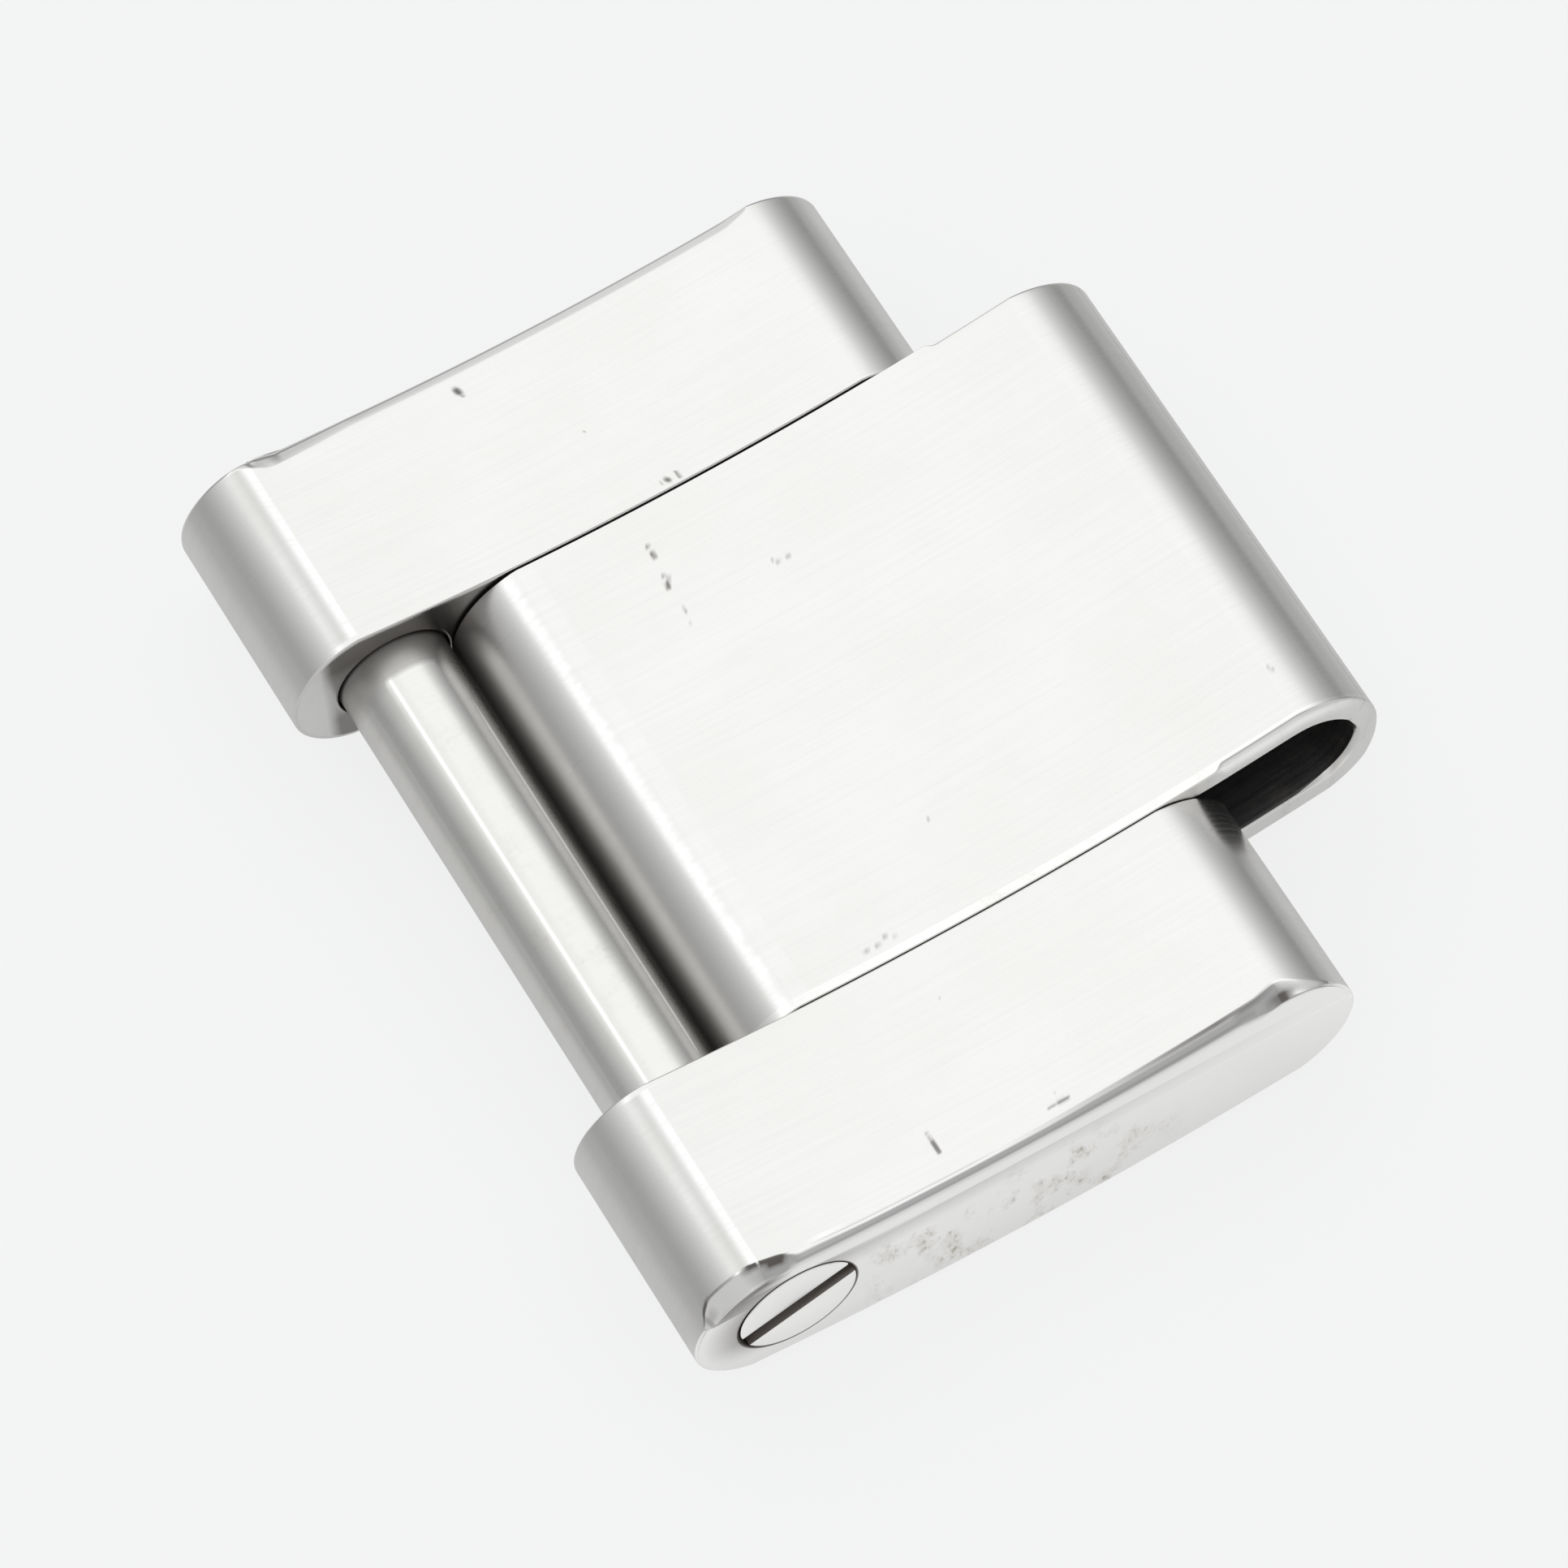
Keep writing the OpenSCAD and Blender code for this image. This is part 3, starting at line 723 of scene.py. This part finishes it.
sleeve_finish = steel("worn_sleeve", (0.855, 0.845, 0.825), 0.12, 0.25, 0.12, 0.2)
sleeve_half, tube_half, sleeve_radius = 4.55, 4.30, 0.93
sleeve_ends = [(radius, y * sleeve_half / tube_half) for radius, y in tube_profile]
sleeve_stops = (-4.2, -4.0, *np.linspace(-3.6, 3.6, 13), 3.76, 3.86, 3.95, 4.05, 4.15, 4.25)
sleeve_profile = sleeve_ends[:7] + [(sleeve_radius, y) for y in sleeve_stops] + sleeve_ends[7:]
sleeve_skin = turned(sleeve_profile, screw_x, screw_z, 180)
# painted shade on the side turned to the centre link and underneath, by the angle from upright in degrees,
# and at the far end, standing in for the dark inner face of the outer link that it reflects there
side_angles = (-180, -150, -100, 18, 26, 34, 44, 58, 72, 100, 150, 180)
side_shade = (0.7, 0.3, 0, 0, 0.12, 0.3, 0.36, 0.3, 0.4, 0.75, 0.9, 0.8)
bright_line_angle, bright_line_half_width, bright_line_middle, bright_line_half_length = 44, 0.9, -0.6, 3.3
for number, (x, y, z) in enumerate(sleeve_skin.points):
    if math.hypot(x - screw_x, z - screw_z) > sleeve_radius - 0.01:
        tilt = math.degrees(math.atan2(x - screw_x, z - screw_z))
        end_stops = (3.76, 3.86, 4.3) if -24 < tilt < 60 else (3.5, 3.95, 4.3)
        end_shade = np.interp(y, end_stops, (0, 0.42, 0.6)) if y > 0 else 0
        sleeve_skin.wear_and_light[number] = max(np.interp(tilt, side_angles, side_shade), end_shade)
        # one bright line along it
        if abs(tilt - bright_line_angle) < bright_line_half_width and abs(y - bright_line_middle) < bright_line_half_length:
            sleeve_skin.wear_and_light[number] = -0.5
sleeve_skin.piece("sleeve_worn", [sleeve_finish], "screw_sleeve", "screw_sleeve")


# Link screw: turned from steel, with a slotted cheese head that lies flush in
# the head link's side. Its slot is sawn, and the thread is cut at the far end
# of the shank.

screw_finish = steel("polished_screw", (0.93, 0.925, 0.915), 0.13, 0.2, 0.0, 0.12)
# the slot's dark tint is painted shade; its grime is dirt
slot_finish = steel("sawn_slot_painted_shade", (0.38, 0.35, 0.33), 0.55, 0.5, 1.2)
slot_lean, slot_half_width, slot_floor = math.radians(18.6), 0.17, -7.58
head_profile = [
    (0, -8.0), (0.93, -8.0), (0.968, -7.998), (0.98, -7.985),
    (0.98, -7.9), (0.98, -7.2), (0.965, -7.16), (0.93, -7.15),
]
shank_profile = [
    (0.62, -7.15), (0.6, -7.13), (0.6, -7.0), (0.6, 4.2), (0.6, 4.3),
    (0.45, 4.4), (0.45, 6.8), (0.38, 6.99), (0, 6.99),
]
screw = turned(head_profile + shank_profile, screw_x, screw_z, 128)
blank = screw.piece("screw_turned", [screw_finish], "link_screw", "link_screw")
saw = bpy.data.meshes.new("saw")
saw_corners = []
for u in (-1.5, 1.5):
    for y in (-8.5, slot_floor):
        for v in (-slot_half_width, slot_half_width):
            x = screw_x + u * math.cos(slot_lean) - v * math.sin(slot_lean)
            z = screw_z + u * math.sin(slot_lean) + v * math.cos(slot_lean)
            saw_corners.append((x * MM, y * MM, z * MM))
saw_faces = [(0, 1, 3, 2), (4, 6, 7, 5), (0, 4, 5, 1), (2, 3, 7, 6), (0, 2, 6, 4), (1, 5, 7, 3)]
saw.from_pydata(saw_corners, [], saw_faces)
saw_piece = bpy.data.objects.new("saw", saw)
bpy.context.scene.collection.objects.link(saw_piece)
cut = blank.modifiers.new("slot", "BOOLEAN")
cut.object = saw_piece
cut.operation = "DIFFERENCE"
cut.solver = "EXACT"
soften = blank.modifiers.new("soften", "BEVEL")
soften.width = 0.018 * MM
soften.segments = 2
soften.limit_method = "ANGLE"
soften.angle_limit = math.radians(55)
bpy.context.view_layer.update()
slotted = bpy.data.meshes.new_from_object(blank.evaluated_get(bpy.context.evaluated_depsgraph_get()))
blank.modifiers.clear()
blank.data = slotted
slotted.polygons.foreach_set("use_smooth", [True] * len(slotted.polygons))
slotted.materials.append(slot_finish)
for face in slotted.polygons:
    x, y, z = face.center / MM
    off = -(x - screw_x) * math.sin(slot_lean) + (z - screw_z) * math.cos(slot_lean)
    within = abs(off) < slot_half_width + 0.002 and -7.985 < y < slot_floor + 0.01
    face.material_index = int(within and math.hypot(x - screw_x, z - screw_z) < 0.975)
slotted.set_sharp_from_angle(angle=math.radians(35))
bpy.data.objects.remove(saw_piece)

# the thread is one ridge swept along a helix round the core
thread_finish = steel("cut_thread", (0.72, 0.71, 0.70), 0.22, 0.2, 0.2)
thread_tree = bpy.data.node_groups.new("thread", "GeometryNodeTree")
thread_tree.interface.new_socket("Geometry", in_out="OUTPUT", socket_type="NodeSocketGeometry")
thread_tree.interface.new_socket("Geometry", in_out="INPUT", socket_type="NodeSocketGeometry")
thread_sizes = {}
for label, kind, value in (
    ("Pitch", "NodeSocketFloat", 0.3 * MM),
    ("Turns", "NodeSocketInt", 8),
    ("Start", "NodeSocketFloat", 4.44 * MM),
    ("Root radius", "NodeSocketFloat", 0.44 * MM),
    ("Crest radius", "NodeSocketFloat", 0.58 * MM),
):
    socket = thread_tree.interface.new_socket(label, in_out="INPUT", socket_type=kind)
    thread_sizes[socket.identifier] = value
wiring = Wiring(thread_tree)
given = wiring.put("NodeGroupInput").outputs
root, pitch, turns = given["Root radius"], given["Pitch"], given["Turns"]
helix = wiring.put("GeometryNodeCurveSpiral", {
    "Resolution": 72, "Reverse": True, "Rotations": turns, "Start Radius": root, "End Radius": root,
    "Height": wiring.maths("MULTIPLY", pitch, turns)})
upright = wiring.put("GeometryNodeSetCurveNormal", {"Curve": helix.outputs["Curve"]}, mode="Z_UP")
# the ridge's section: how far out and how far along each corner is, as shares of its height and of the pitch
ridge = wiring.put("GeometryNodeCurvePrimitiveQuadrilateral", mode="POINTS")
tall = wiring.maths("SUBTRACT", given["Crest radius"], root)
for number, (out, along) in enumerate(((0, -0.46), (1, -0.06), (1, 0.06), (0, 0.46)), 1):
    corner = wiring.put("ShaderNodeCombineXYZ", {
        "X": wiring.maths("MULTIPLY", tall, out), "Y": wiring.maths("MULTIPLY", pitch, along)})
    wiring.feed(ridge.inputs["Point %d" % number], corner.outputs["Vector"])
sweep = wiring.put("GeometryNodeCurveToMesh", {
    "Curve": upright.outputs["Curve"], "Profile Curve": ridge.outputs["Curve"], "Fill Caps": True})
shift = wiring.put("ShaderNodeCombineXYZ", {"X": screw_x * MM, "Y": given["Start"], "Z": screw_z * MM})
laid = wiring.put("GeometryNodeTransform", {
    "Geometry": sweep.outputs["Mesh"], "Translation": shift.outputs["Vector"],
    "Rotation": (-math.pi / 2, 0, 0)})
whole = wiring.put("GeometryNodeRealizeInstances", {"Geometry": laid.outputs["Geometry"]})
dressed = wiring.put("GeometryNodeSetMaterial", {
    "Geometry": whole.outputs["Geometry"], "Material": thread_finish})
wiring.put("NodeGroupOutput", {"Geometry": dressed.outputs["Geometry"]})
thread_piece = bpy.data.objects.new("screw_thread", bpy.data.meshes.new("screw_thread"))
bpy.context.scene.collection.objects.link(thread_piece)
winding = thread_piece.modifiers.new("thread", "NODES")
winding.node_group = thread_tree
for identifier, value in thread_sizes.items():
    winding[identifier] = value
bpy.context.view_layer.update()
wound = bpy.data.meshes.new_from_object(thread_piece.evaluated_get(bpy.context.evaluated_depsgraph_get()))
thread_piece.modifiers.clear()
thread_piece.data = wound
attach(thread_piece, "link_screw")


# The table that the link lies on: a glossy white board, wide enough for every
# view. It takes the link's soft shadow. In the steel's reflections it is a glow
# with painted shade, brighter in front of the link than past its ends.

board = bpy.data.meshes.new("board")
board.from_pydata([(-3, -3, 0), (3, -3, 0), (3, 3, 0), (-3, 3, 0)], [], [(0, 1, 2, 3)])
board_piece = bpy.data.objects.new("board", board)
bpy.context.scene.collection.objects.link(board_piece)
board_finish = bpy.data.materials.new("white_board")
board_finish.use_nodes = True
board_nodes = board_finish.node_tree.nodes
board_nodes.remove(board_nodes["Principled BSDF"])
wiring = Wiring(board_finish.node_tree)
paper_white = (0.938, 0.942, 0.942, 1)
paint = wiring.put("ShaderNodeBsdfDiffuse", {"Color": (0.885, 0.885, 0.885, 1)})
glow = wiring.put("ShaderNodeEmission", {"Color": paper_white, "Strength": 1.0})
# the painted shade on the glow that the steel sees in the board, by where it is, in metres
spot = wiring.put("ShaderNodeTexCoord").outputs["Object"]
sides = wiring.put("ShaderNodeSeparateXYZ", {0: spot}).outputs
ends = wiring.span(wiring.maths("ABSOLUTE", sides["X"]), 0.007, 0.016, 1.0, 0.62, "SMOOTHSTEP")
front = wiring.span(sides["Y"], -0.0065, -0.0090, 0.60, 1.0, "SMOOTHSTEP")
away = wiring.span(sides["Y"], -0.0092, -0.0128, 1.0, 0.74)
shade = wiring.maths("MULTIPLY", ends, wiring.maths("MULTIPLY", front, away))
# a glow that only glossy rays see, with the painted shade on it
reflected_glow = wiring.put("ShaderNodeEmission", {"Color": (0.97, 0.975, 0.975, 1), "Strength": shade})
rays = wiring.put("ShaderNodeLightPath").outputs
under = paint
for flag, share, lamp in (("Is Glossy Ray", 0.72, reflected_glow), ("Is Camera Ray", 0.86, glow)):
    amount = wiring.maths("MULTIPLY", rays[flag], share)
    under = wiring.put("ShaderNodeMixShader", {0: amount, 1: under.outputs[0], 2: lamp.outputs[0]})
wiring.feed(board_nodes["Material Output"].inputs["Surface"], under.outputs[0])
board.materials.append(board_finish)


# The light: a broad white tent overhead that falls off to grey towards the
# horizon and is darker on the camera's side, all in the world's colour.

def grey_levels(value, stops, tint):
    """A ramp of greys, with a tint of its own, from stops of place and level."""
    ramp = wiring.put("ShaderNodeValToRGB", {"Fac": value})
    marks = ramp.color_ramp.elements
    while len(marks) > 1:
        marks.remove(marks[-1])
    for number, (place, level) in enumerate(stops):
        mark = marks[0] if number == 0 else marks.new(place)
        mark.position = place
        mark.color = (*(level * k for k in tint), 1)
    return ramp.outputs["Color"]


world = bpy.data.worlds.new("light_tent")
bpy.context.scene.world = world
world.use_nodes = True
world_nodes = world.node_tree.nodes
wiring = Wiring(world.node_tree)
direction = wiring.put("ShaderNodeTexCoord").outputs["Generated"]
parts = wiring.put("ShaderNodeSeparateXYZ", {0: direction}).outputs
# overhead, the light goes by the angle from upright towards +x, in degrees; near -27 a narrow strip is bright
tent_levels = [
    (-90, 0.38), (-74, 0.38), (-58, 0.52), (-42, 0.68), (-33, 0.90), (-29.5, 0.98), (-28, 1.9), (-25.5, 1.9),
    (-24, 0.98), (-16, 1.02), (-4, 1.09), (28, 1.09), (37, 1.02), (46, 0.76), (56, 0.58), (70, 0.40),
    (90, 0.22),
]
lean = wiring.span(wiring.maths("ARCTAN2", parts["X"], parts["Z"]), -math.pi / 2, math.pi / 2, 0.0, 1.0)
tent = grey_levels(lean, [((degrees + 90) / 180, level) for degrees, level in tent_levels], (0.99, 1, 1))
# on the camera's side it is an even light grey, with a darker patch where the camera stands
camera_side = (0.20, -0.46, 0.86)
gap = wiring.put("ShaderNodeVectorMath", {0: direction, 1: camera_side}, operation="DISTANCE")
patch_levels = [(0.0, 0.39), (0.3, 0.40), (0.62, 0.66), (1.0, 0.62), (2.0, 0.6)]
patch_stops = [(far / 2, level) for far, level in patch_levels]
half_gap = wiring.maths("MULTIPLY", gap.outputs["Value"], 0.5)
ahead = grey_levels(half_gap, patch_stops, (1, 1, 1.01))
depth = wiring.span(parts["Y"], -1.0, 1.0, 0.0, 1.0)
in_front = grey_levels(depth, [((y + 1) / 2, level) for y, level in ((-0.32, 1.0), (-0.12, 0.0))], (1, 1, 1))
# and low at the far side it is greyer, which only the far link's bevel shows
beyond = wiring.span(parts["Y"], 0.66, 0.86, 1.0, 0.70, "SMOOTHSTEP")
around = world_nodes["Background"]
wiring.feed(around.inputs["Color"], wiring.mixed(in_front, tent, ahead))
wiring.feed(around.inputs["Strength"], beyond)
backdrop = wiring.put("ShaderNodeBackground", {"Color": paper_white})
seen = wiring.put("ShaderNodeLightPath").outputs["Is Camera Ray"]
either = wiring.put("ShaderNodeMixShader", {0: seen, 1: around.outputs[0], 2: backdrop.outputs[0]})
wiring.feed(world_nodes["World Output"].inputs["Surface"], either.outputs[0])


# The camera: high on the near left of the link, a long way off through a long
# lens, turned a little about its own line of sight.

camera = bpy.data.cameras.new("camera")
camera_piece = bpy.data.objects.new("camera", camera)
bpy.context.scene.collection.objects.link(camera_piece)
bpy.context.scene.camera = camera_piece
stand = Vector((-29.57517, -58.40062, 123.53545)) * MM
aim = Vector((-1.1277, -0.3924, 1.6)) * MM
roll = math.radians(-4.3551)
forward = (aim - stand).normalized()
level_right = forward.cross(Vector((0, 0, 1))).normalized()
level_up = level_right.cross(forward)
right = level_right * math.cos(roll) + level_up * math.sin(roll)
upward = level_up * math.cos(roll) - level_right * math.sin(roll)
camera_piece.rotation_mode = "QUATERNION"
camera_piece.matrix_world = Matrix((
    (right.x, upward.x, -forward.x, stand.x), (right.y, upward.y, -forward.y, stand.y),
    (right.z, upward.z, -forward.z, stand.z), (0, 0, 0, 1)))
camera.sensor_fit = "HORIZONTAL"
camera.sensor_width = 36.0
camera.lens = 209.505
camera.clip_start = 0.01
camera.clip_end = 10.0

bpy.context.scene.view_settings.view_transform = "Standard"
